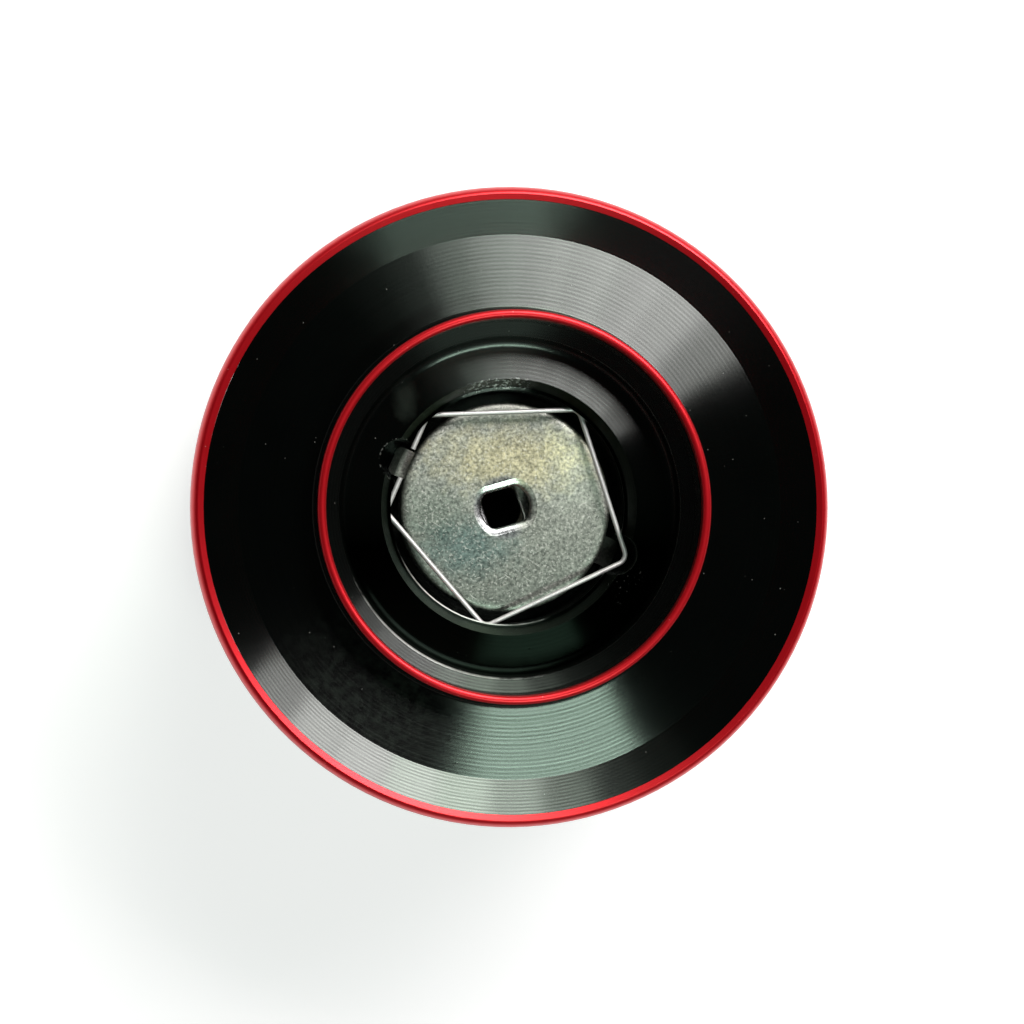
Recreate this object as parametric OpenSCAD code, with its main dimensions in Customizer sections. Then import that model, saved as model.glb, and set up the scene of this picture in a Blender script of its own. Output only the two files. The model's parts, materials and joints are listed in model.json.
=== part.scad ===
// Spool of a spinning reel with its front drag stack, seen without the drag knob.
// Millimetres. Z is the spool axis, the front face looks up, and the skirt rim stands on z = 0.

/* [Spool] */
// Diameter over the front lip
lip_d = 65; // [63:0.5:70]
// Height of the skirt, from its rim to the rear winding face
skirt_h = 20.5; // [18:0.5:26]
// Distance between the two winding faces at the arbor
winding_w = 20; // [19:0.5:26]
// Diameter of the arbor that carries the line
arbor_d = 43; // [42.6:0.2:47]
// Wall of the arbor
arbor_t = 1.9; // [1.5:0.1:2.4]
// Radial step from the lip in to the skirt
skirt_inset = 1.3; // [0.9:0.1:2]
// Wall of the skirt
skirt_t = 1.8; // [1.5:0.1:2.2]
// Thickness of the rear flange
rear_flange_t = 2; // [1.6:0.1:3]

/* [Front face] */
// Height of the valley above the front winding face
valley_h = 4.5; // [4.2:0.1:6]
// Diameter of the valley where the lip cone meets the front face
valley_d = 55.4; // [52:0.2:57]
// Height of the lip ridge above the valley
lip_rise = 2; // [1.6:0.1:2.6]
// Radial thickness of the lip ring
lip_ring_t = 1.35; // [1.1:0.05:1.6]
// Rise of the front face from the valley to the collar
face_rise = 1.15; // [0.6:0.05:1.6]
// Outer diameter of the knob collar at its top
collar_d = 39.7; // [39.4:0.1:41]
// Height of the collar top above the valley
collar_h = 5; // [4.4:0.1:6]
// Height of the collar ring
collar_ring_h = 1.4; // [1.2:0.1:1.8]
// Diameter of the recess that takes the knob
knob_recess_d = 37.8; // [37.2:0.1:38]
// Depth of the recess floor below the valley
recess_drop = 1.8; // [1.6:0.1:2.2]

/* [Drag stack] */
// Diameter of the bore that holds the drag stack
drag_bore_d = 24.1; // [23.4:0.1:24.6]
// Radius of the two keyways, drilled on the wall of the bore
keyway_r = 2.15; // [1.9:0.05:2.3]
// Direction of the keyway that the wire points into
keyway_angle = -23.5; // [-45:0.5:45]
// Depth from the recess floor to the retaining wire
wire_depth = 2.6; // [2.4:0.1:3]
// Diameter of the retaining wire
wire_d = 0.5; // [0.4:0.05:0.6]
// Depth from the retaining wire to the top of the stack
stack_depth = 1.6; // [1:0.1:2]
// Diameter of the steel key washers
key_washer_d = 21.7; // [21:0.1:22.2]
// Thickness of the upper key washer
key_upper_t = 1.2; // [1:0.1:1.4]
// Thickness of the lower key washer and the ear washer
plate_t = 1; // [0.8:0.1:1.2]
// Thickness of each friction washer
friction_t = 0.8; // [0.6:0.1:1]
// Direction of the upper key washer's flats
key_upper_angle = 15.7; // [-90:0.1:90]
// Direction of the lower key washer's flats
key_lower_angle = 108.8; // [0:0.1:180]

/* [Shaft and bearing] */
// Diameter of the main shaft
shaft_d = 5; // [4.8:0.05:5.1]
// Distance across the flats of the shaft
shaft_flats = 3.65; // [3.4:0.05:4]
// Outer diameter of the ball bearing
bearing_d = 11; // [10.9:0.05:11.3]
// Width of the ball bearing
bearing_w = 4; // [3.8:0.1:4.5]
// Diameter of each ball
ball_d = 1.86; // [1.7:0.02:1.9]
// Number of balls
ball_count = 8; // [6:1:9]
// Length of the bush in the hub floor
bush_l = 3.6; // [3:0.1:4.4]

/* [Clicker] */
// Distance of the pawl pivot from the spool axis
pivot_r = 10.6; // [10.4:0.1:11]
// Diameter of the pawl pin
pawl_pin_d = 1.5; // [1.3:0.05:1.6]
// Depth of the recess that takes the ratchet and the pawl
ratchet_depth = 2.6; // [2.4:0.1:3]
// Diameter of that recess
ratchet_d = 15.2; // [14.8:0.1:15.6]
// Thickness of the click plate
click_plate_t = 1.4; // [1.2:0.1:1.8]
// Diameter of the click plate screws
screw_d = 1.9; // [1.7:0.05:2]

/* [Line clip] */
// Height of the line clip above the skirt rim
clip_z = 10.5; // [10:0.5:11]
// Diameter of the clip's button
clip_d = 8.4; // [7.6:0.1:9]
// Thickness of the button
clip_t = 1.5; // [1.2:0.1:1.6]
// Diameter of the clip's stem
clip_stem_d = 2.5; // [2.3:0.1:2.7]

/* [Fits] */
// Radial clearance of a turning or sliding fit
run_fit = 0.05; // [0.02:0.01:0.08]
// Radial clearance of the bush on the shaft
bush_fit = 0.03; // [0.02:0.01:0.04]
// Radial clearance left in a bonded or pressed seat
seat_fit = 0.02; // [0.01:0.01:0.03]
// Axial gap between the washers of the stack
stack_gap = 0.05; // [0.03:0.01:0.1]

/* [Hidden] */
$fn = 96;
eps = 0.01;
past = 1;

// Small steps of the body section
ridge_inset = 0.8;
collar_draft = 0.18;
ledge_w = 1.5;
ledge_round_w = 1.1;
mouth_w = 1.07;
mouth_depth = 1.7;
hub_wall = 1.4;
fillet_r = 0.8;
edge_r = 0.5;
rear_edge_r = 1.2;
ledge_edge = 0.3;
ledge_round_a = 165;
land_w = 0.3;

// Slopes of the front winding face, the front face, the recess ledge and floor, and the land at
// the mouth of the bore, in degrees
winding_slope = 10;
face_slope = 8;
ledge_slope = 33;
floor_slope = 8;
land_slope = 22;

// Radii of the body
lip_r = lip_d / 2;
seat_r = lip_r - lip_ring_t;
ridge_r = lip_r - ridge_inset;
arbor_r = arbor_d / 2;
arbor_in_r = arbor_r - arbor_t;
skirt_r = lip_r - skirt_inset;
skirt_in_r = skirt_r - skirt_t;
valley_r = valley_d / 2;
collar_r = collar_d / 2;
recess_r = knob_recess_d / 2;
bore_r = drag_bore_d / 2;
hub_r = bore_r + keyway_r + hub_wall;
ledge_r = recess_r - ledge_w;
floor_r = ledge_r - ledge_round_w;
bore_mouth_r = bore_r + mouth_w;

// Heights between the levels of the body
lip_root_h = 1.5;
widest_h = 0.3;
lip_inner_drop = 0.28;
ledge_rise = 0.1;
web_t = 2;

// Levels of the body, from the skirt rim up
z_rear_face = skirt_h;
z_rear_inside = z_rear_face - rear_flange_t;
z_front_face = z_rear_face + winding_w;
z_lip_bottom = z_front_face + lip_root_h;
z_valley = z_front_face + valley_h;
z_widest = z_valley + widest_h;
z_ridge = z_valley + lip_rise;
z_lip_inner = z_ridge - lip_inner_drop;
z_face_top = z_valley + face_rise;
z_collar = z_valley + collar_h;
z_collar_seat = z_collar - collar_ring_h;
z_ledge_top = z_valley + ledge_rise;
z_ledge = z_ledge_top - (ledge_w - ledge_edge * (1 - sin(ledge_slope))) * tan(ledge_slope)
    - ledge_edge * cos(ledge_slope);
z_floor = z_valley - recess_drop;
z_floor_edge = z_floor - (floor_r - bore_mouth_r) * tan(floor_slope);
z_land = z_floor - mouth_depth;
z_web = z_floor - web_t;

// Two grooves near the skirt rim and one below the rear flange
groove_w = 1;
groove_sink = 0.35;
rim_groove_z = 2.2;
rim_groove_step = 1.6;
rear_groove_drop = 4.2;
skirt_groove_z = [rim_groove_z, rim_groove_z + rim_groove_step, skirt_h - rear_groove_drop];

// Roll of the lip ring below and above its widest line, in degrees
lip_under_a = 75;
lip_crown_a = 10;

// Tongue on the collar that the collar ring drops over
collar_ring_step = 0.08;
collar_ring_in_r = recess_r + collar_ring_step;
crown_h = 0.4;
tongue_r = (collar_r + recess_r) / 2;
tongue_t = 0.3;
tongue_h = 0.6;

// Levels of the drag stack, from the wire down
wire_play = 0.3;
wire_groove_sink = 0.55;
keyway_below_ear = 0.4;
groove_h = wire_d + wire_play;
groove_r = bore_r + wire_groove_sink;
z_wire = z_floor - wire_depth;
z_key_upper = z_wire - stack_depth - key_upper_t;
z_friction_upper = z_key_upper - stack_gap - friction_t;
z_ear = z_friction_upper - stack_gap - plate_t;
z_friction_middle = z_ear - stack_gap - friction_t;
z_key_lower = z_friction_middle - stack_gap - plate_t;
z_friction_lower = z_key_lower - stack_gap - friction_t;
z_stack = z_friction_lower - stack_gap;
z_keyway = z_ear - keyway_below_ear;

// Outlines of the washers
washer_edge = 0.15;
rim_roll = [0.8, 0.3];
hole_roll = [-0.9, 0.3];
roll_a = 80;
roll_steps = 6;
corner_ease = 0.08;
friction_edge = 0.1;
friction_inset = 0.1;
friction_in_r = 5;
friction_r = key_washer_d / 2 - friction_inset;
ear_washer_inset = 0.15;
ear_washer_r = key_washer_d / 2 - ear_washer_inset;
ear_reach = 0.55;
ear_play = 0.65;
ear_corner = 0.6;

// Levels of the hub, from the stack floor down
bush_r = 4;
bush_gap = 0.2;
bush_edge = 0.2;
bearing_r = bearing_d / 2;
bearing_seat_r = bearing_r + seat_fit;
ring_wire_d = 0.6;
ring_sink = 0.3;
ring_opening = 30;
ring_land = 0.35;
z_bush = z_stack - bush_l;
z_bearing = z_bush - bearing_w;
z_bearing_mid = z_bearing + bearing_w / 2;
z_ring_groove = z_bearing - ring_wire_d;
z_ratchet = z_ring_groove - ring_land;
z_hub = z_ratchet - ratchet_depth;
z_click_plate = z_hub - click_plate_t;
ratchet_r = ratchet_d / 2;

// Bearing lands, pitch, cage and shields
shaft_r = shaft_d / 2;
ball_r = ball_d / 2;
pitch_r = (bearing_r + shaft_r) / 2;
race_play = 0.07;
race_r = ball_r + race_play;
land_gap = 0.75;
inner_land_r = pitch_r - land_gap;
outer_land_r = pitch_r + land_gap;
cage_gap = 0.3;
cage_drop = 1.4;
cage_rise = 0.25;
cage_play = 0.12;
cage_edge = 0.05;
shield_t = 0.2;
shield_step = 0.4;
shield_gap = 0.15;
shield_edge = 0.03;
shield_sink = 0.2;
shield_inset = 0.22;
shield_r = outer_land_r + shield_sink;
z_shield = bearing_w / 2 - shield_inset;

// Retaining wire: five corners a fixed step apart, with the last side left open
corner_step = 77.2;
corner_sink = 0.45;
point_step = 1.1;
corner_r = bore_r + corner_sink;
point_r = corner_r + point_step;
bend_r = 1;
tail_l = 3.8;

// Clicker
pocket_w = 6;
pawl_boss_r = 1.7;
pawl_root = 1.5;
pawl_tip_r = 0.4;
pawl_bite = 1.4;
pawl_reach = pivot_r - ratchet_r + pawl_bite;
pawl_gap = 0.2;
pin_press_l = 2;
click_wire_r = 0.2;
click_loop_gap = 0.15;
click_loop_r = pocket_w / 2 - click_wire_r - click_loop_gap;
click_loop_a = 10;
click_leg_x = 1.1;
click_leg_l = 3.2;
screw_r = screw_d / 2;
screw_head_r = 2 * screw_r;
screw_head_h = 1.2;
screw_l = 5.2;
screw_shift = 0.9;
screw_pcd_r = (ratchet_r + hub_r) / 2 + screw_shift;
screw_angles = [30, 150, 270];
plate_step = 0.2;
plate_edge = 0.25;

// Screw heads: width of the crossed drive, and shares of the head's height and radius
drive_w = 0.5;
head_round = 0.6;
drive_depth = 0.55;
drive_reach = 0.6;

// Line clip, measured outwards from the spool axis
clip_sink = 0.5;
clip_flat_r = skirt_r - clip_sink;
clip_base = clip_flat_r + run_fit;
clip_head_r = clip_d / 2;
clip_margin = 0.4;
clip_lead = 1.2;
clip_round_a = 15;
clip_stem_r = clip_stem_d / 2;
clip_stem_l = 2.2;
clip_stem_end = skirt_in_r - clip_stem_l;
clip_screw_head_h = 0.8;
clip_screw_head_r = 2.3;
clip_screw_r = 0.7;
clip_screw_l = 3;
clip_spring_r = 1.75;
clip_spring_wire_r = 0.15;
clip_spring_turns = 3;
clip_spring_gap = 0.2;
clip_spring_l = 1.7;

// Points of an arc, in the plane of a profile
function arc(c, r, a0, a1, n = 6) =
    [for (i = [0:n]) let (a = a0 + (a1 - a0) * i / n) c + r * [cos(a), sin(a)]];

// Points of an elliptical arc
function oval(c, rx, ry, a0, a1, n = 8) =
    [for (i = [0:n]) let (a = a0 + (a1 - a0) * i / n) c + [rx * cos(a), ry * sin(a)]];

function polar(r, a) = r * [cos(a), sin(a)];
function unit(v) = v / norm(v);

// Points of the bend that rounds the corner b between a and c
function bend(a, b, c, r, n = 6) =
    let (u = unit(a - b), v = unit(c - b), half = acos(u * v) / 2)
    let (m = b + unit(u + v) * r / sin(half), s = b + u * r / tan(half), e = b + v * r / tan(half))
    let (a0 = atan2(s[1] - m[1], s[0] - m[0]), a1 = atan2(e[1] - m[1], e[0] - m[0]))
    let (turn = (a1 - a0 + 540) % 360 - 180)
    arc(m, r, a0, a0 + turn, n);

// Wire of radius r swept along a flat or rising list of points, with round section
module wire(path, r, sides = 12) {
    last = len(path) - 1;
    function along(i) = unit(path[min(i + 1, last)] - path[max(i - 1, 0)]);
    function side(i) = unit(cross([0, 0, 1], along(i)));
    function ring(i) = [for (k = [0:sides - 1]) let (a = 360 * k / sides)
        path[i] + r * (cos(a) * side(i) + sin(a) * cross(along(i), side(i)))];
    walls = [for (i = [0:last - 1], k = [0:sides - 1]) let (n = (k + 1) % sides)
        [i * sides + k, i * sides + n, (i + 1) * sides + n, (i + 1) * sides + k]];
    caps = [[for (k = [sides - 1:-1:0]) k], [for (k = [0:sides - 1]) last * sides + k]];
    polyhedron([for (i = [0:last]) each ring(i)], concat(walls, caps), convexity = 6);
}

// Flat ring between two radii, its edges broken by a small chamfer
module disc_ring(r_in, r_out, h, edge) {
    rotate_extrude() polygon([[r_in, edge], [r_in + edge, 0], [r_out - edge, 0], [r_out, edge],
        [r_out, h - edge], [r_out - edge, h], [r_in + edge, h], [r_in, h - edge]]);
}

// Puts its children at the line clip, with their Z pointing outwards along -Y
module at_clip() {
    translate([0, 0, clip_z]) rotate([90, 0, 0]) children();
}

// Points that sink a shallow groove into the skirt at height z
function skirt_groove(z) =
    [[skirt_r, z], [skirt_r - groove_sink, z + groove_sink],
     [skirt_r - groove_sink, z + groove_w - groove_sink], [skirt_r, z + groove_w]];

// Half section of the body: skirt, arbor, front flange, knob recess, drag bore and hub
module body_section() {
    polygon(concat(
        [[ratchet_r, z_hub], [hub_r - edge_r, z_hub], [hub_r, z_hub + edge_r]],
        arc([hub_r + fillet_r, z_web - fillet_r], fillet_r, 180, 90),
        arc([arbor_in_r - fillet_r, z_web - fillet_r], fillet_r, 90, 0),
        arc([arbor_in_r + edge_r, z_rear_inside + edge_r], edge_r, 180, 270),
        arc([skirt_in_r - fillet_r, z_rear_inside - fillet_r], fillet_r, 90, 0),
        [[skirt_in_r, edge_r], [skirt_in_r + edge_r, 0]],
        arc([skirt_r - edge_r, edge_r], edge_r, -90, 0),
        [for (z = skirt_groove_z) each skirt_groove(z)],
        arc([skirt_r - rear_edge_r, z_rear_face - rear_edge_r], rear_edge_r, 0, 90),
        arc([arbor_r + fillet_r, z_rear_face + fillet_r], fillet_r, 270, 180),
        arc([arbor_r + fillet_r, z_front_face - fillet_r], fillet_r, 180, 90 + winding_slope),
        [[seat_r - seat_fit, z_lip_bottom], [seat_r - seat_fit, z_lip_inner - seat_fit]],
        [[valley_r, z_valley]],
        arc([collar_r + collar_draft + edge_r, z_face_top + edge_r], edge_r, 270 - face_slope, 180),
        [[collar_r, z_collar_seat]],
        [[tongue_r + tongue_t / 2, z_collar_seat], [tongue_r + tongue_t / 2, z_collar_seat + tongue_h]],
        [[tongue_r - tongue_t / 2, z_collar_seat + tongue_h], [tongue_r - tongue_t / 2, z_collar_seat]],
        [[recess_r, z_collar_seat], [recess_r, z_ledge_top]],
        arc([ledge_r + ledge_edge, z_ledge], ledge_edge, 90 + ledge_slope, ledge_round_a),
        oval([floor_r, z_ledge], ledge_r - floor_r, z_ledge - z_floor_edge, 0, -90),
        [[bore_mouth_r, z_floor], [bore_r + land_w, z_land + land_w * tan(land_slope)]],
        [[bore_r, z_land], [bore_r, z_wire + groove_h / 2]],
        [[groove_r, z_wire + groove_h / 2], [groove_r, z_wire - groove_h / 2]],
        [[bore_r, z_wire - groove_h / 2], [bore_r, z_stack], [bush_r, z_stack], [bush_r, z_bush]],
        [[bearing_seat_r, z_bush], [bearing_seat_r, z_bearing]],
        [[bearing_seat_r + ring_sink, z_bearing], [bearing_seat_r + ring_sink, z_ring_groove]],
        [[bearing_seat_r, z_ring_groove], [bearing_seat_r, z_ratchet], [ratchet_r, z_ratchet]]));
}

// Outline of the pocket that the pawl swings in, open to the ratchet recess
module pawl_pocket() {
    translate([0, pivot_r]) circle(pocket_w / 2);
    translate([-pocket_w / 2, ratchet_r - past]) square([pocket_w, pivot_r - ratchet_r + past]);
}

module spool_body() color("#14181a") difference() {
    rotate_extrude() body_section();
    for (turn = [0, 180])
        rotate(keyway_angle + turn) translate([bore_r, 0, z_keyway])
            cylinder(r = keyway_r, h = z_floor - z_keyway + past);
    translate([0, 0, z_hub - past]) linear_extrude(ratchet_depth + past) pawl_pocket();
    translate([0, pivot_r, z_ratchet - past])
        cylinder(d = pawl_pin_d + 2 * seat_fit, h = pin_press_l + past);
    for (a = screw_angles)
        rotate(a) translate([screw_pcd_r, 0, z_hub - past])
            cylinder(r = screw_r + seat_fit, h = screw_l - click_plate_t + 2 * past);
    at_clip() {
        translate([0, 0, clip_flat_r])
            cylinder(r = clip_head_r + clip_margin, h = lip_r - clip_flat_r);
        translate([0, 0, skirt_in_r - past])
            cylinder(r = clip_stem_r + run_fit, h = lip_r - skirt_in_r);
    }
}

module lip_ring() color("#b3122b") rotate_extrude() polygon(concat(
    [[seat_r, z_lip_inner], [seat_r, z_lip_bottom]],
    oval([seat_r, z_widest], lip_ring_t, z_widest - z_lip_bottom, -lip_under_a, 0),
    oval([ridge_r, z_widest], lip_r - ridge_r, z_ridge - z_widest, lip_crown_a, 90)));

module collar_ring() color("#b3122b") rotate_extrude() polygon(concat(
    [[collar_ring_in_r, z_collar_seat], [tongue_r - tongue_t / 2 - seat_fit, z_collar_seat]],
    [[tongue_r - tongue_t / 2 - seat_fit, z_collar_seat + tongue_h + seat_fit]],
    [[tongue_r + tongue_t / 2 + seat_fit, z_collar_seat + tongue_h + seat_fit]],
    [[tongue_r + tongue_t / 2 + seat_fit, z_collar_seat], [collar_r, z_collar_seat]],
    oval([(collar_r + collar_ring_in_r) / 2, z_collar - crown_h],
        (collar_r - collar_ring_in_r) / 2, crown_h, 0, 180, 12)));

module retainer_wire() {
    corners = [for (k = [2:-1:-2])
        polar(k == 0 ? point_r : corner_r, keyway_angle + k * corner_step)];
    start = corners[0] + tail_l * unit(corners[4] - corners[0]);
    end = corners[4] + tail_l * unit(corners[0] - corners[4]);
    legs = concat([start], corners, [end]);
    bends = [for (i = [1:5]) each bend(legs[i - 1], legs[i], legs[i + 1], bend_r)];
    flat = concat([start], bends, [end]);
    color("#c9ccce") wire([for (p = flat) [p[0], p[1], z_wire]], wire_d / 2, 16);
}

// Points of an edge at [x, z] that the punch has rolled over, by roll[0] across and roll[1] down
function rolled(x, z, roll) =
    oval([x - roll[0], z - roll[1]], roll[0], roll[1], 0, roll_a, roll_steps);

// Half outline of a hole through height h, x away from its middle, with a rolled upper edge
function rolled_hole(x, h) = concat([[x, -past]], rolled(x, h, hole_roll),
    [[x - 2 * hole_roll[0], h + hole_roll[1]], [x - 2 * hole_roll[0], h + past]]);

// Slot between two flats through height h, each x away from its middle, with rolled upper edges
module rolled_slot(x, h) {
    side = rolled_hole(x, h);
    rotate([90, 0, 90]) linear_extrude(key_washer_d, center = true)
        polygon(concat(side, [for (i = [len(side) - 1:-1:0]) [-side[i][0], side[i][1]]]));
}

// Steel washer with a double-D hole of eased corners, rolled over at its upper edges
module key_washer(h, angle) {
    rim_r = key_washer_d / 2;
    round_r = shaft_r + run_fit;
    flat_x = shaft_flats / 2 + run_fit;
    corner_a = acos(flat_x / round_r) / 2;
    corner_x = round_r * cos(corner_a) - corner_ease;
    difference() {
        rotate_extrude() polygon(concat(
            [[round_r / 2, 0], [rim_r - washer_edge, 0], [rim_r, washer_edge]],
            rolled(rim_r, h, rim_roll), [[rim_r - 2 * rim_roll[0], h], [round_r / 2, h]]));
        rotate(angle) intersection() {
            rotate_extrude() polygon(concat([[0, -past]], rolled_hole(round_r, h), [[0, h + past]]));
            rolled_slot(flat_x, h);
            rotate(corner_a) rolled_slot(corner_x, h);
            rotate(-corner_a) rolled_slot(corner_x, h);
        }
    }
}

module key_washer_upper() color("#b9b4a6") translate([0, 0, z_key_upper])
    key_washer(key_upper_t, key_upper_angle);

module key_washer_lower() color("#b9b4a6") translate([0, 0, z_key_lower])
    key_washer(plate_t, key_lower_angle);

module friction_washer() color("#26262a")
    disc_ring(friction_in_r, friction_r, friction_t, friction_edge);

module drag_washer_upper() translate([0, 0, z_friction_upper]) friction_washer();

module drag_washer_middle() translate([0, 0, z_friction_middle]) friction_washer();

module drag_washer_lower() translate([0, 0, z_friction_lower]) friction_washer();

module ear_washer() color("#a8a69c") translate([0, 0, z_ear]) linear_extrude(plate_t) difference() {
    union() {
        circle(ear_washer_r);
        rotate(keyway_angle) polygon([for (k = [0:3]) each arc(
            [(k % 3 == 0 ? 1 : -1) * (bore_r + ear_reach - ear_corner),
             (k < 2 ? 1 : -1) * (keyway_r - ear_play - ear_corner)],
            ear_corner, 90 * k, 90 * k + 90)]);
    }
    circle(friction_in_r);
}

module hub_bush() color("#d9d6c8") translate([0, 0, z_bush + bush_gap])
    disc_ring(shaft_r + bush_fit, bush_r - seat_fit, bush_l - 2 * bush_gap, bush_edge);

// Section of a bearing ring between two radii, with the ball groove cut into it
module race_section(r_in, r_out) {
    difference() {
        translate([r_in, -bearing_w / 2]) square([r_out - r_in, bearing_w]);
        translate([pitch_r, 0]) circle(race_r);
    }
}

module bearing_outer_ring() color("#c4c7c9") translate([0, 0, z_bearing_mid])
    rotate_extrude() difference() {
        race_section(outer_land_r, bearing_r);
        for (s = [-1, 1])
            translate([shield_r - shield_step, s * z_shield - shield_t / 2 - seat_fit])
                square([shield_step, shield_t + 2 * seat_fit]);
    }

module bearing_inner_ring() color("#c4c7c9") translate([0, 0, z_bearing_mid])
    rotate_extrude() race_section(shaft_r, inner_land_r);

// Puts its children at every ball of the bearing
module at_balls() {
    for (i = [0:ball_count - 1])
        rotate(360 * i / ball_count) translate([pitch_r, 0, z_bearing_mid]) children();
}

module bearing_balls() color("#d5d8da") at_balls() sphere(ball_r);

module bearing_cage() color("#b8995a") difference() {
    translate([0, 0, z_bearing_mid - cage_drop])
        disc_ring(inner_land_r + cage_gap, outer_land_r - cage_gap, cage_drop + cage_rise, cage_edge);
    at_balls() sphere(ball_r + cage_play);
}

module bearing_shields() color("#b4b7b9") for (s = [-1, 1])
    translate([0, 0, z_bearing_mid + s * z_shield - shield_t / 2])
        disc_ring(inner_land_r + shield_gap, shield_r - seat_fit, shield_t, shield_edge);

module bearing_retainer() color("#9fa3a6") translate([0, 0, z_bearing - ring_wire_d / 2])
    rotate(ring_opening / 2) rotate_extrude(angle = 360 - ring_opening)
        translate([bearing_seat_r + ring_sink - ring_wire_d / 2, 0]) circle(ring_wire_d / 2 - eps);

module click_plate() color("#2b2d30") translate([0, 0, z_click_plate]) difference() {
    disc_ring(ratchet_r + plate_step, hub_r - plate_step, click_plate_t - seat_fit, plate_edge);
    for (a = screw_angles)
        rotate(a) translate([screw_pcd_r, 0, -past])
            cylinder(r = screw_r + 2 * run_fit, h = click_plate_t + 2 * past);
}

// Round-headed screw with a crossed drive, its head at the bottom and its shank pointing up
module screw(r, l, head_r, head_h) {
    round_r = head_h * head_round;
    reach = head_r * drive_reach;
    cylinder(r = r, h = l);
    difference() {
        translate([0, 0, -head_h]) rotate_extrude() polygon(concat([[0, head_h], [0, 0]],
            arc([head_r - round_r, round_r], round_r, -90, 0), [[head_r, head_h]]));
        for (a = [0, 90])
            rotate(a) translate([-reach, -drive_w / 2, -head_h - past])
                cube([2 * reach, drive_w, head_h * drive_depth + past]);
    }
}

module click_plate_screws() color("#c0c3c5") for (a = screw_angles)
    rotate(a) translate([screw_pcd_r, 0, z_click_plate - seat_fit])
        screw(screw_r, screw_l, screw_head_r, screw_head_h);

module click_pawl() color("#d0d0cc") translate([0, 0, z_hub + pawl_gap])
    linear_extrude(ratchet_depth - 2 * pawl_gap) difference() {
        union() {
            translate([0, pivot_r]) circle(pawl_boss_r);
            polygon([[-pawl_root, pivot_r], [-pawl_tip_r, pivot_r - pawl_reach],
                [pawl_tip_r, pivot_r - pawl_reach], [pawl_root, pivot_r]]);
            translate([0, pivot_r - pawl_reach]) circle(pawl_tip_r);
        }
        translate([0, pivot_r]) circle(d = pawl_pin_d + 2 * run_fit);
    }

module click_pawl_pin() color("#c4c7c9") translate([0, pivot_r, z_hub + pawl_gap / 2])
    cylinder(d = pawl_pin_d, h = ratchet_depth + pin_press_l - pawl_gap);

module click_spring() {
    legs = [[-click_leg_x, pivot_r - click_leg_l], [click_leg_x, pivot_r - click_leg_l]];
    loop = arc([0, pivot_r], click_loop_r, 180 + click_loop_a, -click_loop_a, 16);
    flat = concat([legs[0]], loop, [legs[1]]);
    color("#c9ccce") wire([for (p = flat) [p[0], p[1], (z_hub + z_ratchet) / 2]], click_wire_r, 10);
}

module line_clip() color("#17191b") at_clip() difference() {
    rotate_extrude() polygon(concat(
        [[0, clip_stem_end], [clip_stem_r, clip_stem_end], [clip_stem_r, clip_base]],
        [[clip_head_r - clip_lead, clip_base], [clip_head_r, clip_base + clip_t / 2]],
        arc([clip_head_r - clip_t / 2, clip_base + clip_t / 2], clip_t / 2, clip_round_a, 90),
        [[0, clip_base + clip_t]]));
    translate([0, 0, clip_stem_end - past])
        cylinder(r = clip_screw_r + seat_fit, h = clip_screw_l + past);
}

module line_clip_screw() color("#c0c3c5") at_clip() translate([0, 0, clip_stem_end - seat_fit])
    screw(clip_screw_r, clip_screw_l - 2 * seat_fit, clip_screw_head_r, clip_screw_head_h);

module line_clip_spring() {
    rings = clip_spring_turns * 14;
    start = clip_stem_end + clip_spring_gap;
    coil = [for (i = [0:rings]) let (p = polar(clip_spring_r, 360 * clip_spring_turns * i / rings))
        [p[0], p[1], start + clip_spring_l * i / rings]];
    color("#c9ccce") at_clip() wire(coil, clip_spring_wire_r, 8);
}

spool_body();
lip_ring();
collar_ring();
retainer_wire();
key_washer_upper();
drag_washer_upper();
ear_washer();
drag_washer_middle();
key_washer_lower();
drag_washer_lower();
hub_bush();
bearing_outer_ring();
bearing_inner_ring();
bearing_balls();
bearing_cage();
bearing_shields();
bearing_retainer();
click_plate();
click_plate_screws();
click_pawl();
click_pawl_pin();
click_spring();
line_clip();
line_clip_spring();
line_clip_screw();
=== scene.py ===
"""Visual model of a spinning reel spool with its drag stack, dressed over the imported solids."""
import json
import math

import bpy
from mathutils import Matrix, Vector


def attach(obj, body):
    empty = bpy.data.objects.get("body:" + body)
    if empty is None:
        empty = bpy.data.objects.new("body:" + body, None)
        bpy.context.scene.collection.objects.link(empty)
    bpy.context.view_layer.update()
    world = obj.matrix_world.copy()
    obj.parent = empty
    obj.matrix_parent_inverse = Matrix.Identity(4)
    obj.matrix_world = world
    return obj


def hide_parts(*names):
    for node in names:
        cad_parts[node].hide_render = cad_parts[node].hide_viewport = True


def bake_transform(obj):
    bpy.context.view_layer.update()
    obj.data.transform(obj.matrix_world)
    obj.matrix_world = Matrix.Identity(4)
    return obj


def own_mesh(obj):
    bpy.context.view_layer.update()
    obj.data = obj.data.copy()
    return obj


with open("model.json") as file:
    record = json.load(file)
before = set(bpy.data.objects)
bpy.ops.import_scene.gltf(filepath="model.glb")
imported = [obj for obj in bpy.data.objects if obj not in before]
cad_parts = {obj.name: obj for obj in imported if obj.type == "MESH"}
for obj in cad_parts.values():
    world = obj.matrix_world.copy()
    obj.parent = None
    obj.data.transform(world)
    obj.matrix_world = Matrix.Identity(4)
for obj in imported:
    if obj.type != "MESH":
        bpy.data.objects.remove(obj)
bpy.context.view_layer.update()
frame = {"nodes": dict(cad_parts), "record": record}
nodes = frame["nodes"]

MM = 0.001

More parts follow.
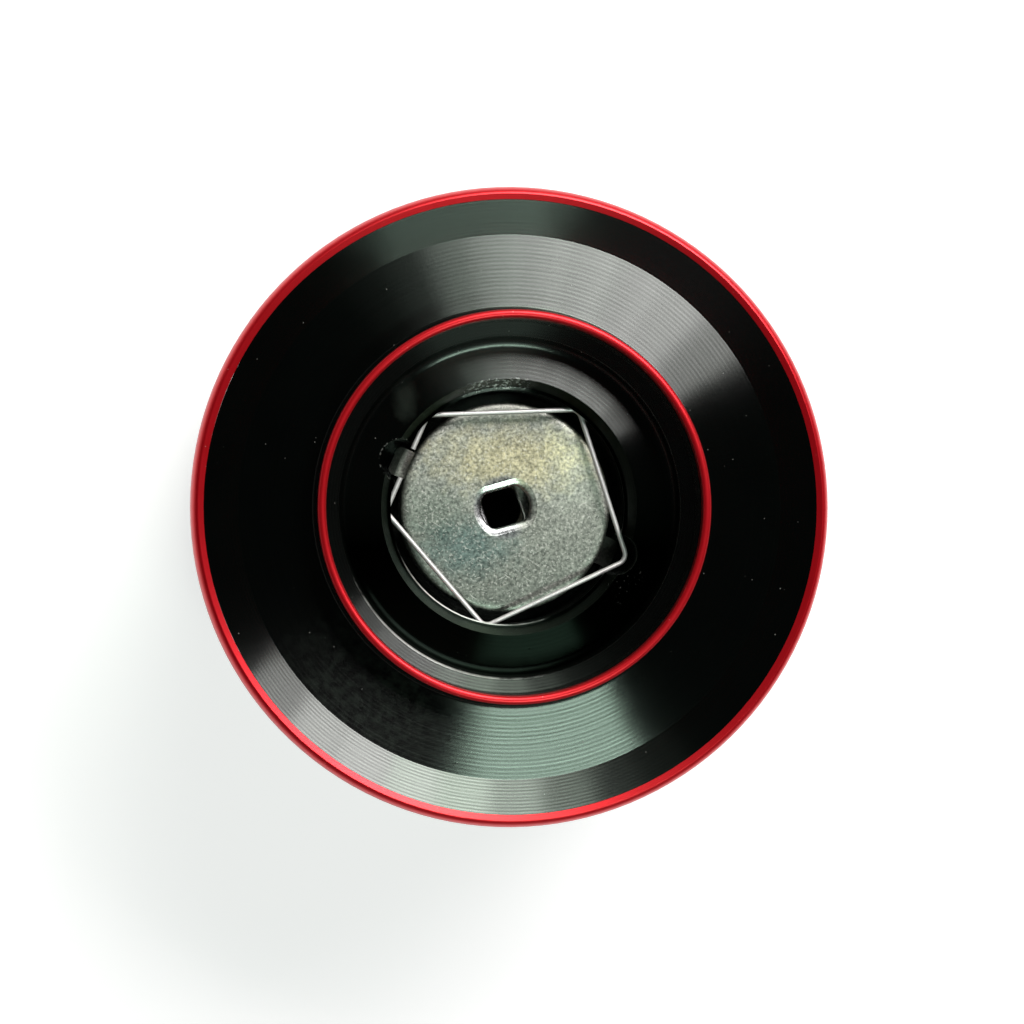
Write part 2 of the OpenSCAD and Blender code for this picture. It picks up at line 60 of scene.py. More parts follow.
# Camera, in millimetres and degrees: it looks down on the lip's plane and leans a little to the
# left. The two ends of what it sees are in metres.
LIP_Z = 45.3
CAMERA_DISTANCE = 350
CAMERA_LEAN = 5.5
CAMERA_AIM = (0.06, -0.50)
CAMERA_SEES = (0.01, 20)
VIEW_WIDTH = 103.96
SENSOR = 36

# Radii and places on the front of the spool that the wear, the painted highlights and the painted
# shade follow, in millimetres
BORE_R = 12.05
MOUTH_R = 13.12
LEDGE_R = 17.5
FACE_R = (20.5, 27.5)
KEYWAY_R = 2.15
KEYWAY_AT = (-11.05, 4.80)
HOLE_EDGE_R = 3.4
KEY_WASHER_R = 10.85
# Painted shade on the washers' ears: the radii over which their tips go dark, and the x over which
# the ear on the right goes dark
EAR_TIP_R = (11.5, 11.9)
SHADED_EAR_X = (6.0, 7.0)

# Heights over which each kind of wear, painted highlight, painted reflection and painted shade sets
# in, in millimetres, so that none shows behind the front
MOUTH_Z = (41.0, 41.6)
CHIPS_Z = (41.6, 42.0)
# Painted highlights on the edges set in over this height
HIGHLIGHT_LINES_Z = (41.0, 41.3)
# The dirt by the bore and the painted reflection on the face set in over this height
GRIME_AND_REFLECTION_Z = (40.6, 41.0)
# Painted shade inside the recess sets in over this height
SHADE_FILM_Z = (39.0, 41.0)

# Worn and stained patches, patches of painted highlight and painted reflection, and a lit patch
# left out of the painted shade, in millimetres: x, y, half width and half height of an uneven oval
MOUTH_SCUFF = (-1.5, 12.5, 3.6, 2.0)
FLOOR_SCUFF = (11.8, -7.6, 2.2, 2.4)
# Painted highlight: a thin bright line on the bore's edge
LAND_HIGHLIGHT = (-5.5, -10.0, 8.0, 7.0)
# Painted highlight: a thin bright line on the ledge's edge
LEDGE_HIGHLIGHT = (-9.0, -14.5, 10.0, 6.5)
# Lit patch of the bore's land, left out of the painted shade
LIT_LAND = (-2.0, 12.6, 4.0, 2.5)
# Painted reflection: a lighter mottled haze on the lower left of the face
FACE_REFLECTION = (-12.0, -20.0, 11.0, 8.0)
FLOOR_GRIME = (-10.6, 11.1, 1.3, 1.9)

# Stains and painted light on the plated washers: a patch and the colour that multiplies the plate
# there
WASHER_STAINS_AND_LIGHT = (
    ((0.6, 5.0, 8.5, 3.2), (1.55, 1.38, 1.05)),
    # Painted light: the plate brighter at its upper right
    ((7.4, 5.4, 3.4, 4.6), (1.4, 1.45, 1.4)),
    ((-4.0, -4.2, 5.0, 2.8), (0.62, 0.78, 0.82)),
    ((-7.6, -0.8, 3.6, 3.2), (0.70, 0.76, 0.74)),
)

# Colours of the black body
BLACK_DEEP, BLACK_PALE = (0.0003, 0.0005, 0.0004), (0.0008, 0.0012, 0.0010)
# Colour of the painted reflection on the face and of the dirt by the bore
BLACK_GRIME_AND_REFLECTION = (0.020, 0.026, 0.021)
BLACK_DUST = (0.32, 0.31, 0.29)
# Painted shade: the near-black layer inside the recess
BLACK_PAINTED_SHADE = (0.0015, 0.0028, 0.002)
# Colour of the worn metal, and of the painted highlights on the edges
BARE_METAL_AND_HIGHLIGHT = (0.50, 0.52, 0.49)
BLACK_SHINE = (0.9, 1.0, 0.93, 1.0)

# Colours of the red rings, the plated washers and the wire
RED_DEEP, RED_PALE = (0.55, 0.002, 0.007), (0.68, 0.004, 0.014)
RED_DUST = (0.7, 0.45, 0.42)
ZINC_DARK, ZINC_PALE = (0.23, 0.25, 0.22), (0.52, 0.55, 0.48)
# Of these two colours the second darkens the plates' lower half as painted shade
ZINC_BLOTCH, ZINC_PAINTED_SHADE = (0.72, 0.72, 0.72), (0.66, 0.68, 0.68)
ZINC_GLINT, ZINC_EDGE = (0.84, 0.85, 0.78), (0.62, 0.65, 0.66)
# Painted shade on the ears' tips and on the ear at the right
EAR_PAINTED_SHADE = (0.01, 0.012, 0.01)
WIRE_DARK, WIRE_PALE = (0.58, 0.58, 0.58), (0.80, 0.79, 0.77)

# Colours of the woven friction washers: tows on top, tows below and loose fibre
TOW_UNDER, TOW_OVER = (0.016, 0.016, 0.018), (0.034, 0.034, 0.037)
FIBRE = (0.05, 0.05, 0.05)

# Turned surfaces: the cutter's feed on the body and on the rings, in millimetres, and the middle
# height of its marks. A quarter turn lays a material's stretched shine across the marks.
BODY_FEED, RING_FEED = 0.39, 0.15
FEED_MIDDLE = 0.6
QUARTER_TURN = 0.25

# Floor: how much of its white is its own near the spool, and the radii, in millimetres, between
# which that grows to all of it. In reflections the white fades with the height of the wall, in
# millimetres, to a share that is left. Under the spool's foot the floor has no white of its own.
FLOOR_GLOW = 0.7
FLOOR_NEAR_R, FLOOR_FAR_R = 120, 500
MIRRORED_UP_TO_Z, MIRRORED_LEFT = 200, 0.1
FOOT_R = (29.2, 32.2)
PAPER_DARK, PAPER_PALE = (0.62, 0.62, 0.62), (0.66, 0.66, 0.66)
WHITE = (1.0, 1.0, 1.0, 1.0)

# Floor's shape, in metres: a flat disc that bends up into a low wall
FLAT_R, WALL_R, WALL_TOP = 1.1, 1.6, 0.55
BEND_STEPS, FLOOR_SIDES = 10, 96

# Key lamps, in degrees: two rows of panels in a fan on the right behind the spool. Each panel is as
# wide as two steps, so that neighbours overlap evenly. Each row fades towards its far end, and from
# one panel on it has another colour. The distance is in metres.
LAMP_DISTANCE = 0.5
KEY_START, KEY_STEP, KEY_OVERLAP, KEY_DEPTH = 33, 10, 2, 14
KEY_UPPER_ZENITH, KEY_LOWER_ZENITH = 34, 48
KEY_RADIANCE = 13
KEY_UPPER = (1.0, 0.95, 1.05, 1.1, 1.0, 0.84, 0.10, 0.02)
KEY_LOWER = (0.9, 1.0, 1.18, 1.18, 0.72, 0.22, 0.01, 0.01)
KEY_WARM = (1.0, 0.92, 0.94)
KEY_PALE, KEY_PALE_FROM = (0.94, 0.98, 0.92), 5
KEY_GREEN, KEY_GREEN_FROM = (0.95, 1.08, 0.92), 3

# One fill lamp in front of the spool, and a faint light from all round
FILL = {"azimuth": -70, "zenith": 27, "spread": 37, "depth": 10, "radiance": 15.0,
        "colour": (0.80, 1.0, 0.87)}
ROOM_COLOUR, ROOM_STRENGTH = (0.9, 0.95, 1.0, 1.0), 0.01

# Shading of the solids: corners closer than this, in metres, are joined, and edges shallower than
# this, in degrees, look smooth
WELD = 1e-6
SMOOTH_ANGLE = 28


class Graph:
    """A material's node tree, with short calls for the nodes that are used here."""

    def __init__(self, name, **constants):
        self.material = bpy.data.materials.new(name)
        self.material.use_nodes = True
        self.tree = self.material.node_tree
        self.shader = self.tree.nodes["Principled BSDF"]
        self._position = None
        self.set(**constants)

    def put(self, socket, value):
        """Links a socket, or sets its constant value."""
        if isinstance(value, bpy.types.NodeSocket):
            self.tree.links.new(value, socket)
        elif value is not None:
            socket.default_value = value

    def set(self, **values):
        """Gives the shader's inputs their values, with _ for a space in their names."""
        for socket, value in values.items():
            self.put(self.shader.inputs[socket.replace("_", " ")], value)

    def node(self, kind, *values, **settings):
        made = self.tree.nodes.new("ShaderNode" + kind)
        for name, value in settings.items():
            setattr(made, name, value)
        for socket, value in zip(made.inputs, values):
            self.put(socket, value)
        return made

    def math(self, operation, *values, clamp=False):
        return self.node("Math", *values, operation=operation, use_clamp=clamp).outputs[0]

    def add(self, a, b):
        return self.math("ADD", a, b)

    def times(self, a, b):
        return self.math("MULTIPLY", a, b)

    def larger(self, a, b):
        return self.math("MAXIMUM", a, b)

    def vector(self, operation, a, b=None, out=0):
        return self.node("VectorMath", a, b, operation=operation).outputs[out]

    def length(self, a):
        return self.vector("LENGTH", a, out="Value")

    def position(self):
        """Place on the part in millimetres, fixed to the piece."""
        if self._position is None:
            place = self.node("TexCoord").outputs["Object"]
            self._position = self.vector("MULTIPLY", place, (1 / MM, 1 / MM, 1 / MM))
        return self._position

    def xyz(self):
        return self.node("SeparateXYZ", self.position()).outputs

    def radius(self):
        """Distance from the spool's axis."""
        return self.length(self.vector("MULTIPLY", self.position(), (1, 1, 0)))

    def profile(self):
        """Grows along the section of a turned piece, on flats, cones and cylinders alike."""
        return self.add(self.radius(), self.xyz()[2])

    def noise(self, scale, detail=2.0, rough=0.5, at=None, stretch=(1, 1, 1)):
        made = self.node("TexNoise")
        where = self.vector("MULTIPLY", at or self.position(), stretch)
        self.put(made.inputs["Vector"], where)
        self.put(made.inputs["Scale"], scale)
        self.put(made.inputs["Detail"], detail)
        self.put(made.inputs["Roughness"], rough)
        return made.outputs[0]

    def lines(self, along, scale, detail=2.0):
        """Uneven bands across one coordinate."""
        made = self.node("TexNoise", noise_dimensions="1D")
        self.put(made.inputs["W"], along)
        self.put(made.inputs["Scale"], scale)
        self.put(made.inputs["Detail"], detail)
        return made.outputs[0]

    def cells(self, scale):
        """Distance from the nearest of many scattered points."""
        made = self.node("TexVoronoi")
        self.put(made.inputs["Vector"], self.position())
        self.put(made.inputs["Scale"], scale)
        return made.outputs["Distance"]

    def fit(self, value, low, high, to_low=0.0, to_high=1.0):
        """Maps low..high to to_low..to_high, held at both ends."""
        return self.node("MapRange", value, low, high, to_low, to_high).outputs[0]

    def band(self, value, low, high, soft):
        """1 between low and high, falling to 0 over soft on both sides."""
        rise = self.fit(value, low - soft, low)
        fall = self.fit(value, high, high + soft, 1.0, 0.0)
        return self.times(rise, fall)

    def spot(self, x, y, across, along):
        """1 in the middle of an uneven oval patch, 0 outside it."""
        place = self.vector("MULTIPLY", self.position(), (1 / across, 1 / along, 0))
        away = self.length(self.vector("SUBTRACT", place, (x / across, y / along, 0)))
        uneven = self.fit(self.noise(0.7), 0.3, 0.7, -0.25, 0.25)
        return self.fit(self.add(away, uneven), 1.3, 0.35)

    def mix(self, share, a, b, blend="MIX"):
        """Goes from colour a to colour b by a share."""
        made = self.node("Mix", data_type="RGBA", blend_type=blend)
        self.put(made.inputs["Factor"], share)
        ends = [s for s in made.inputs if s.type == "RGBA"]
        for socket, colour in zip(ends, (a, b)):
            self.put(socket, (*colour, 1.0) if isinstance(colour, tuple) else colour)
        return [s for s in made.outputs if s.type == "RGBA"][0]

    def tint(self, share, base, colour):
        """Multiplies the base by a colour, as a stain does, and keeps its grain."""
        return self.mix(share, base, colour, blend="MULTIPLY")

    def bump(self, height, depth):
        """Depth is the height of the relief in millimetres."""
        made = self.node("Bump")
        self.put(made.inputs["Strength"], 1.0)
        self.put(made.inputs["Distance"], depth * MM)
        self.put(made.inputs["Height"], height)
        self.set(Normal=made.outputs[0])

    def tangent_around_z(self):
        """Lets the shine run round the spool's axis."""
        self.set(Tangent=self.node("Tangent", direction_type="RADIAL", axis="Z").outputs[0])


def turning(g, pitch):
    """Height of the cutter's feed marks on a turned surface, which waver and fade on their way."""
    along = g.add(g.radius(), g.times(g.xyz()[2], 0.4))
    along = g.add(along, g.times(g.noise(0.9), 0.12))
    feed = g.math("SINE", g.times(along, 2 * math.pi / pitch))
    share = g.fit(g.noise(0.5), 0.35, 0.65, 0.45, 1.0)
    return g.add(g.times(feed, share), g.times(g.lines(g.profile(), 2.4), 1.2))


def dust(g, scale, size):
    """Sparse specks lying on a surface."""
    dots = g.fit(g.cells(scale), size, size * 0.6)
    patches = g.fit(g.noise(0.35), 0.52, 0.62)
    return g.times(dots, patches)


def mouth_scuff(g, radius, z):
    """Bare grains on the land round the bore's mouth."""
    land = g.times(g.band(radius, BORE_R + 0.2, MOUTH_R, 0.2), g.fit(z, *MOUTH_Z))
    grains = g.fit(g.noise(2.6, 3.0, 0.7), 0.54, 0.62)
    return g.times(g.times(land, g.spot(*MOUTH_SCUFF)), grains)


def chips(g, z):
    """Bare specks round a keyway and in a patch of the recess floor."""
    away = g.vector("SUBTRACT", g.position(), (*KEYWAY_AT, 0))
    away = g.length(g.vector("MULTIPLY", away, (1, 1, 0)))
    rim = g.band(away, KEYWAY_R - 0.05, KEYWAY_R + 0.08, 0.06)
    specks = g.times(rim, g.fit(g.noise(3.2), 0.56, 0.6))
    scuffs = g.times(g.spot(*FLOOR_SCUFF), g.fit(g.noise(3.0, 3.0, 0.7), 0.64, 0.7))
    return g.times(g.fit(z, *CHIPS_Z), g.larger(specks, g.times(scuffs, 0.6)))


def painted_edge_highlights(g, radius, z):
    """Painted highlights: thin bright lines of uncoated metal on the edges of the bore and of the
    ledge.
    """
    land = g.times(g.band(radius, BORE_R - 0.05, BORE_R + 0.1, 0.03), g.spot(*LAND_HIGHLIGHT))
    ledge = g.times(g.band(radius, LEDGE_R - 0.1, LEDGE_R + 0.06, 0.04), g.spot(*LEDGE_HIGHLIGHT))
    return g.times(g.larger(land, g.times(ledge, 0.6)), g.fit(z, *HIGHLIGHT_LINES_Z))


def wear_and_highlights(g, radius, z):
    """Where the body's metal shows, worn through or painted as highlights on its edges."""
    worn = g.larger(mouth_scuff(g, radius, z), chips(g, z))
    return g.larger(worn, painted_edge_highlights(g, radius, z))


def grime_and_reflection(g, radius, z):
    """Dull dirt in a patch by the bore, and a lighter mottled patch on the face that is a painted
    reflection.
    """
    face = g.times(g.band(radius, *FACE_R, 0.5), g.spot(*FACE_REFLECTION))
    mottled = g.times(face, g.fit(g.noise(1.1, 4.0, 0.65), 0.42, 0.62))
    return g.times(g.larger(mottled, g.spot(*FLOOR_GRIME)), g.fit(z, *GRIME_AND_REFLECTION_Z))


def painted_shade_film(g, radius, y, z, bare_and_highlights):
    """Painted shade: a near-black layer inside the ledge, below and on the bore's land but not on
    its lit patch, that takes the shine away.
    """
    unlit = g.fit(g.spot(*LIT_LAND), 1.0, 0.0)
    land = g.times(g.band(radius, BORE_R, MOUTH_R, 0.1), unlit)
    where = g.times(g.larger(g.fit(y, 5.0, -4.0), land), g.fit(z, *SHADE_FILM_Z))
    where = g.times(g.fit(radius, LEDGE_R, LEDGE_R - 0.4), where)
    return g.times(where, g.math("SUBTRACT", 0.985, bare_and_highlights, clamp=True))


def black_anodised():
    """Deep black aluminium turned in fine rings, with dust, dirt and worn edges, and with painted
    highlights on edges, a painted reflection on the face and painted shade in the recess.
    """
    g = Graph("black_anodised", IOR=1.7, Anisotropic=1.0, Anisotropic_Rotation=QUARTER_TURN,
              Specular_Tint=BLACK_SHINE)
    radius, (_, y, z) = g.radius(), g.xyz()
    specks = dust(g, 0.9, 0.07)
    # Worn metal, and the painted highlights on the edges
    bare_and_highlights = wear_and_highlights(g, radius, z)
    # Painted shade inside the recess, which takes the shine away
    shade_film = painted_shade_film(g, radius, y, z, bare_and_highlights)
    base = g.mix(g.noise(0.22, 3.0), BLACK_DEEP, BLACK_PALE)
    # Dirt by the bore, and a painted reflection on the face
    base = g.mix(g.times(grime_and_reflection(g, radius, z), 0.6), base, BLACK_GRIME_AND_REFLECTION)
    base = g.mix(g.times(specks, 0.5), base, BLACK_DUST)
    base = g.mix(bare_and_highlights, base, BARE_METAL_AND_HIGHLIGHT)
    base = g.mix(shade_film, base, BLACK_PAINTED_SHADE)
    rough = g.fit(g.lines(g.profile(), 9.0), 0.3, 0.7, 0.172, 0.22)
    rough = g.add(rough, g.times(g.larger(specks, bare_and_highlights), 0.3))
    fainter_above = g.fit(y, -8.0, 8.0, 1.0, 0.6)
    rings = g.times(g.add(turning(g, BODY_FEED), -FEED_MIDDLE), fainter_above)
    rings = g.add(rings, FEED_MIDDLE)
    g.set(Base_Color=base, Metallic=g.larger(bare_and_highlights, shade_film), Roughness=rough,
          Specular_IOR_Level=g.fit(rings, -0.4, 1.6, 0.36, 0.62))
    g.tangent_around_z()
    g.bump(rings, 0.0010)
    return g.material


def red_anodised():
    """Clear red over bright aluminium, finely turned and a little dusty."""
    g = Graph("red_anodised", IOR=1.6, Metallic=0.7, Anisotropic=0.4,
              Anisotropic_Rotation=QUARTER_TURN, Coat_Weight=0.22, Coat_Roughness=0.22)
    base = g.mix(g.noise(0.3, 3.0), RED_DEEP, RED_PALE)
    base = g.mix(g.times(dust(g, 1.2, 0.08), 0.5), base, RED_DUST)
    g.set(Base_Color=base, Roughness=g.fit(g.lines(g.profile(), 12.0), 0.3, 0.7, 0.33, 0.42))
    g.tangent_around_z()
    g.bump(turning(g, RING_FEED), 0.0008)
    return g.material


def scratches(g, scale, turn, thin):
    """Fine straight scratches that run one way."""
    c, s = math.cos(turn), math.sin(turn)
    u = g.vector("DOT_PRODUCT", g.position(), (c, s, 0.3), out="Value")
    v = g.vector("DOT_PRODUCT", g.position(), (-s, c, 0.1), out="Value")
    where = g.node("CombineXYZ", g.times(u, 0.12), v, 0.0).outputs[0]
    return g.fit(g.noise(scale, 1.0, at=where), thin, thin + 0.03)


def stains_and_painted_light(g, base, y):
    """The plate's base colour with its blotches, its lower half darkened as painted shade, its
    stains and painted light at its upper right.
    """
    blotch = g.fit(g.noise(0.8, 3.0, 0.6), 0.35, 0.65)
    base = g.tint(g.times(blotch, 0.7), base, ZINC_BLOTCH)
    # Painted shade: the plate darker towards its lower half
    base = g.tint(g.fit(y, 1.0, -8.0), base, ZINC_PAINTED_SHADE)
    # Stains, and painted light at the upper right
    for patch, colour in WASHER_STAINS_AND_LIGHT:
        base = g.tint(g.spot(*patch), base, colour)
    return base


def plated_steel():
    """Dull zinc plate with stains and scratches, rubbed bright round its hole, with painted glints,
    painted light and shade on its face, and painted shade at its ears.
    """
    g = Graph("plated_steel", IOR=1.5, Metallic=1.0)
    radius, (x, y, _) = g.radius(), g.xyz()
    grain = g.noise(3.2, 3.0, 0.6)
    base = stains_and_painted_light(g, g.mix(g.fit(grain, 0.34, 0.66), ZINC_DARK, ZINC_PALE), y)
    marks = g.larger(scratches(g, 4.0, -0.6, 0.68), scratches(g, 4.5, 0.5, 0.70))
    marks = g.times(marks, g.fit(g.noise(0.45, 1.0), 0.5, 0.62))
    glints = g.fit(g.noise(4.5, 2.0, 0.6), 0.57, 0.68)
    base = g.mix(g.times(g.larger(marks, glints), 0.5), base, ZINC_GLINT)
    edge = g.fit(radius, HOLE_EDGE_R, HOLE_EDGE_R - 0.5)
    edge = g.times(edge, g.fit(x, 0.8, 1.8, 1.0, 0.1))
    base = g.mix(g.times(edge, 0.7), base, ZINC_EDGE)
    # Painted shade: the ears' tips, and all of the ear on the right, go nearly black
    ear = g.fit(radius, KEY_WASHER_R, KEY_WASHER_R + 0.1)
    dark = g.larger(g.fit(radius, *EAR_TIP_R), g.times(ear, g.fit(x, *SHADED_EAR_X)))
    base = g.mix(g.times(dark, 0.94), base, EAR_PAINTED_SHADE)
    rough = g.add(g.fit(grain, 0.3, 0.7, 0.36, 0.48), g.times(edge, -0.16))
    g.set(Base_Color=base, Roughness=rough)
    relief = g.add(grain, g.times(marks, -0.3))
    g.bump(g.times(relief, g.fit(edge, 0.0, 1.0, 1.0, 0.1)), 0.010)
    return g.material


def spring_steel():
    """Drawn wire, pale and a little dull."""
    g = Graph("spring_steel", IOR=1.5, Metallic=0.55)
    drawn = g.noise(3.0, 3.0, 0.6, stretch=(1, 1, 6))
    g.set(Base_Color=g.mix(drawn, WIRE_DARK, WIRE_PALE),
          Roughness=g.fit(drawn, 0.3, 0.7, 0.34, 0.46))
    g.bump(drawn, 0.003)
    return g.material


def carbon_weave():
    """Twill of flat carbon tows, one millimetre wide."""
    g = Graph("carbon_weave", IOR=1.55, Coat_Weight=0.15, Coat_Roughness=0.3)
    x, y, _ = g.xyz()
    step = g.math("FLOORED_MODULO", g.add(g.math("FLOOR", x), g.math("FLOOR", y)), 4.0)
    over = g.math("LESS_THAN", step, 1.5)
    crown_x = g.math("SINE", g.times(g.math("FRACT", x), math.pi))
    crown_y = g.math("SINE", g.times(g.math("FRACT", y), math.pi))
    crown = g.add(g.times(over, crown_x), g.times(g.math("SUBTRACT", 1.0, over), crown_y))
    fibre = g.noise(9.0)
    base = g.mix(over, TOW_UNDER, TOW_OVER)
    base = g.mix(g.times(fibre, 0.4), base, FIBRE)
    g.set(Base_Color=base, Roughness=g.fit(over, 0.0, 1.0, 0.36, 0.5))
    g.bump(g.add(crown, g.times(fibre, 0.2)), 0.05)
    return g.material


def moulded(name, low, high, grain, rough):
    """Moulded plastic with a fine grain, between two colours."""
    g = Graph(name, IOR=1.5)
    fine = g.noise(grain, 2.0, 0.6)
    g.set(Base_Color=g.mix(g.noise(0.6, 3.0), low, high),
          Roughness=g.fit(fine, 0.3, 0.7, rough, rough + 0.16))
    g.bump(fine, 0.012)
    return g.material


def ground_metal(name, low, high, rough, pitch):
    """Metal ground or rolled in rings round its axis, between two colours."""
    g = Graph(name, IOR=1.5, Metallic=1.0, Anisotropic=0.4, Anisotropic_Rotation=QUARTER_TURN)
    rings = g.lines(g.profile(), 1.0 / pitch, 3.0)
    cloud = g.noise(0.8, 3.0)
    share = g.add(g.times(rings, 0.6), g.times(cloud, 0.4))
    g.set(Base_Color=g.mix(share, low, high),
          Roughness=g.fit(rings, 0.3, 0.7, rough, rough + 0.14))
    g.tangent_around_z()
    g.bump(rings, 0.003)
    return g.material


def make_materials():
    """One material for each material slot of the record."""
    return {
        "black_anodised": black_anodised(),
        "red_anodised": red_anodised(),
        "plated_steel": plated_steel(),
        "spring_steel": spring_steel(),
        "carbon_weave": carbon_weave(),
        "ivory_plastic": moulded("ivory_plastic", low=(0.56, 0.53, 0.44), high=(0.68, 0.65, 0.56),
                                 grain=5.0, rough=0.4),
        "black_plastic": moulded("black_plastic", low=(0.012, 0.012, 0.013),
                                 high=(0.028, 0.028, 0.03), grain=6.0, rough=0.42),
        "bearing_steel": ground_metal("bearing_steel", low=(0.55, 0.56, 0.57),
                                      high=(0.74, 0.75, 0.76), rough=0.12, pitch=0.12),
        "cage_brass": ground_metal("cage_brass", low=(0.48, 0.35, 0.13),
                                   high=(0.64, 0.49, 0.21), rough=0.26, pitch=0.2),
        "shield_steel": ground_metal("shield_steel", low=(0.42, 0.43, 0.44),
                                     high=(0.58, 0.59, 0.60), rough=0.3, pitch=0.1),
        "screw_steel": ground_metal("screw_steel", low=(0.48, 0.49, 0.50),
                                    high=(0.68, 0.69, 0.70), rough=0.26, pitch=0.15),
    }


def smooth_group():
    """Geometry nodes that join a solid's faces and shade its shallow edges smooth."""
    tree = bpy.data.node_groups.new("smooth_cad", "GeometryNodeTree")
    tree.interface.new_socket("Geometry", in_out="INPUT", socket_type="NodeSocketGeometry")
    tree.interface.new_socket("Geometry", in_out="OUTPUT", socket_type="NodeSocketGeometry")
    new, link = tree.nodes.new, tree.links.new
    start, end = new("NodeGroupInput"), new("NodeGroupOutput")
    drop = new("GeometryNodeRemoveAttribute")
    drop.inputs["Name"].default_value = "custom_normal"
    merge = new("GeometryNodeMergeByDistance")
    merge.inputs["Distance"].default_value = WELD
    faces = new("GeometryNodeSetShadeSmooth")
    faces.domain = "FACE"
    edges = new("GeometryNodeSetShadeSmooth")
    edges.domain = "EDGE"
    angle = new("GeometryNodeInputMeshEdgeAngle")
    shallow = new("FunctionNodeCompare")
    shallow.operation = "LESS_EQUAL"
    shallow.inputs["B"].default_value = math.radians(SMOOTH_ANGLE)
    link(angle.outputs["Unsigned Angle"], shallow.inputs["A"])
    link(shallow.outputs[0], edges.inputs["Shade Smooth"])
    link(start.outputs[0], drop.inputs["Geometry"])
    link(drop.outputs["Geometry"], merge.inputs["Geometry"])
    link(merge.outputs["Geometry"], faces.inputs["Geometry"])
    link(faces.outputs["Geometry"], edges.inputs["Geometry"])
    link(edges.outputs["Geometry"], end.inputs[0])
    return tree


def shade(obj, smooth):
    """Adds the smooth shading to a solid or its stand-in."""
    obj.modifiers.new("smooth", "NODES").node_group = smooth
    weighted = obj.modifiers.new("weighted", "WEIGHTED_NORMAL")
    weighted.keep_sharp = True


def stand_in(node, smooth):
    """A copy of a dressed solid, shown in its place because it changes shape with a joint."""
    shown = bpy.data.objects.new(node + "_wire", nodes[node].data.copy())
    shown.matrix_world = nodes[node].matrix_world
    bpy.context.scene.collection.objects.link(shown)
    shade(shown, smooth)
    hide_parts(node)
    return shown


def flex_springs(smooth):
    """Shows copies of the clip's coil and of the hairpin spring in place of their solids: the coil
    hangs from the spool's body with a mesh of its own, and the hairpin's place is baked into its
    mesh. On the reel the coil shortens as the clip lifts, and the hairpin's legs go with the pawl.
    """
    bpy.context.view_layer.update()
    coil = stand_in("line_clip_spring", smooth)
    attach(coil, "spool")
    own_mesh(coil)
    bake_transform(stand_in("click_spring", smooth))


def dress():
    """Gives every solid its material and smooth shading."""
    materials = make_materials()
    smooth = smooth_group()
    for part in frame["record"]["subparts"]:
        solid = nodes[part["node"]]
        solid.data.materials.clear()
        solid.data.materials.append(materials[part["material_slot"]])
        shade(solid, smooth)
    flex_springs(smooth)


def make_camera():
    """Camera straight above the lip but for its lean, with the photograph's width of view."""
    data = bpy.data.cameras.new("camera")
    data.sensor_width = SENSOR
    data.lens = SENSOR * CAMERA_DISTANCE / VIEW_WIDTH
    data.clip_start, data.clip_end = CAMERA_SEES
    camera = bpy.data.objects.new("camera", data)
    bpy.context.scene.collection.objects.link(camera)
    lean = math.radians(CAMERA_LEAN)
    back = Vector((-math.sin(lean), 0, math.cos(lean)))
    up = Vector((0, 1, 0))
    aim = Vector((*CAMERA_AIM, LIP_Z)) * MM
    turn = Matrix((up.cross(back), up, back)).transposed().to_4x4()
    camera.matrix_world = Matrix.Translation(aim + back * CAMERA_DISTANCE * MM) @ turn
    bpy.context.scene.camera = camera


def lamp(name, azimuth, zenith, spread, depth, radiance, colour):
    """Soft panel above the spool, aimed at it, with its angles in degrees.

    The azimuth is counted from +X towards +Y and the zenith from straight above. Spread is the
    panel's width and depth its height, as seen from the spool.
    """
    a, z = math.radians(azimuth), math.radians(zenith)
    out = Vector((math.cos(a), math.sin(a), 0))
    back = out * math.sin(z) + Vector((0, 0, math.cos(z)))
    side = Vector((0, 0, 1)).cross(out)
    data = bpy.data.lights.new(name, "AREA")
    data.shape = "RECTANGLE"
    data.size = LAMP_DISTANCE * math.sin(z) * math.radians(spread)
    data.size_y = LAMP_DISTANCE * math.radians(depth)
    data.energy = radiance * math.pi * data.size * data.size_y
    data.color = colour
    made = bpy.data.objects.new(name, data)
    bpy.context.scene.collection.objects.link(made)
    turn = Matrix((side, back.cross(side), back)).transposed().to_4x4()
    place = Vector((0, 0, LIP_Z * MM)) + back * LAMP_DISTANCE
    made.matrix_world = Matrix.Translation(place) @ turn


def light():
    """The fan of key lamps, the fill and the room's faint light."""
    spread, radiance = KEY_STEP * KEY_OVERLAP, KEY_RADIANCE / KEY_OVERLAP
    for i, (upper, lower) in enumerate(zip(KEY_UPPER, KEY_LOWER)):
        azimuth = KEY_START + (i + 0.5) * KEY_STEP
        upper_colour = KEY_PALE if i >= KEY_PALE_FROM else KEY_WARM
        lower_colour = KEY_GREEN if i >= KEY_GREEN_FROM else KEY_WARM
        lamp(f"key_upper_{i}", azimuth, KEY_UPPER_ZENITH, spread, KEY_DEPTH, radiance * upper,
             upper_colour)
        lamp(f"key_lower_{i}", azimuth, KEY_LOWER_ZENITH, spread, KEY_DEPTH, radiance * lower,
             lower_colour)
    lamp("fill", **FILL)
    world = bpy.data.worlds.new("studio")
    world.use_nodes = True
    room = world.node_tree.nodes["Background"]
    room.inputs["Color"].default_value = ROOM_COLOUR
    room.inputs["Strength"].default_value = ROOM_STRENGTH
    bpy.context.scene.world = world


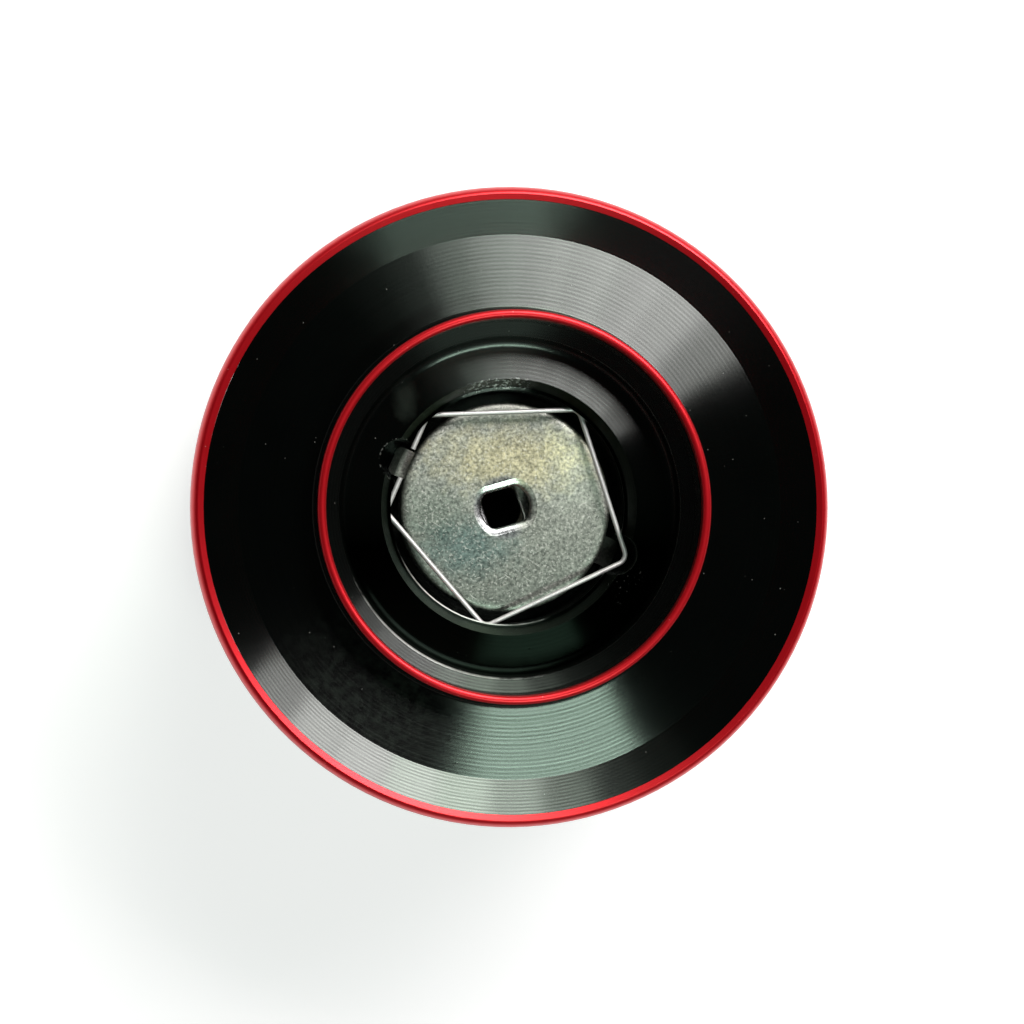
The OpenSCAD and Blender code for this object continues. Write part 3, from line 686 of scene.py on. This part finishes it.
def floor_material():
    """Pale matt paper that shows near white to the camera and in reflections."""
    g = Graph("floor_paper", Roughness=0.9)
    g.set(Base_Color=g.mix(g.noise(0.05, 3.0), PAPER_DARK, PAPER_PALE))
    path, radius, height = g.node("LightPath").outputs, g.radius(), g.xyz()[2]
    seen = g.larger(path["Is Camera Ray"], path["Is Transmission Ray"])
    seen = g.times(seen, g.fit(radius, FLOOR_NEAR_R, FLOOR_FAR_R, FLOOR_GLOW, 1.0))
    lower_glow = g.fit(height, 0.0, MIRRORED_UP_TO_Z, FLOOR_GLOW, MIRRORED_LEFT)
    mirrored = g.times(path["Is Glossy Ray"], lower_glow)
    strength = g.times(g.larger(seen, mirrored), g.fit(radius, *FOOT_R))
    glow = g.node("Emission", WHITE, strength).outputs[0]
    both = g.node("AddShader", g.shader.outputs[0], glow).outputs[0]
    g.put(g.tree.nodes["Material Output"].inputs["Surface"], both)
    return g.material


def floor_section():
    """Radius and height along the floor, from the edge of its flat to the top of its wall."""
    bend = WALL_R - FLAT_R
    turns = [math.pi / 2 * i / BEND_STEPS for i in range(1, BEND_STEPS + 1)]
    curve = [(FLAT_R + bend * math.sin(t), bend * (1 - math.cos(t))) for t in turns]
    return [(FLAT_R, 0.0), *curve, (WALL_R, WALL_TOP)]


def make_floor():
    """Round floor that turns up into a low wall all round."""
    section = floor_section()
    around = [2 * math.pi * k / FLOOR_SIDES for k in range(FLOOR_SIDES)]
    points = [(0, 0, 0)]
    points += [(r * math.cos(a), r * math.sin(a), z) for r, z in section for a in around]
    faces = []
    for k in range(FLOOR_SIDES):
        n = (k + 1) % FLOOR_SIDES
        faces.append((0, 1 + k, 1 + n))
        for ring in range(len(section) - 1):
            inner = 1 + ring * FLOOR_SIDES
            outer = inner + FLOOR_SIDES
            faces.append((inner + k, outer + k, outer + n, inner + n))
    mesh = bpy.data.meshes.new("floor")
    mesh.from_pydata(points, [], faces)
    mesh.polygons.foreach_set("use_smooth", [True] * len(mesh.polygons))
    floor = bpy.data.objects.new("floor", mesh)
    floor.data.materials.append(floor_material())
    bpy.context.scene.collection.objects.link(floor)


bpy.context.scene.view_settings.view_transform = "Standard"
make_camera()
dress()
make_floor()
light()
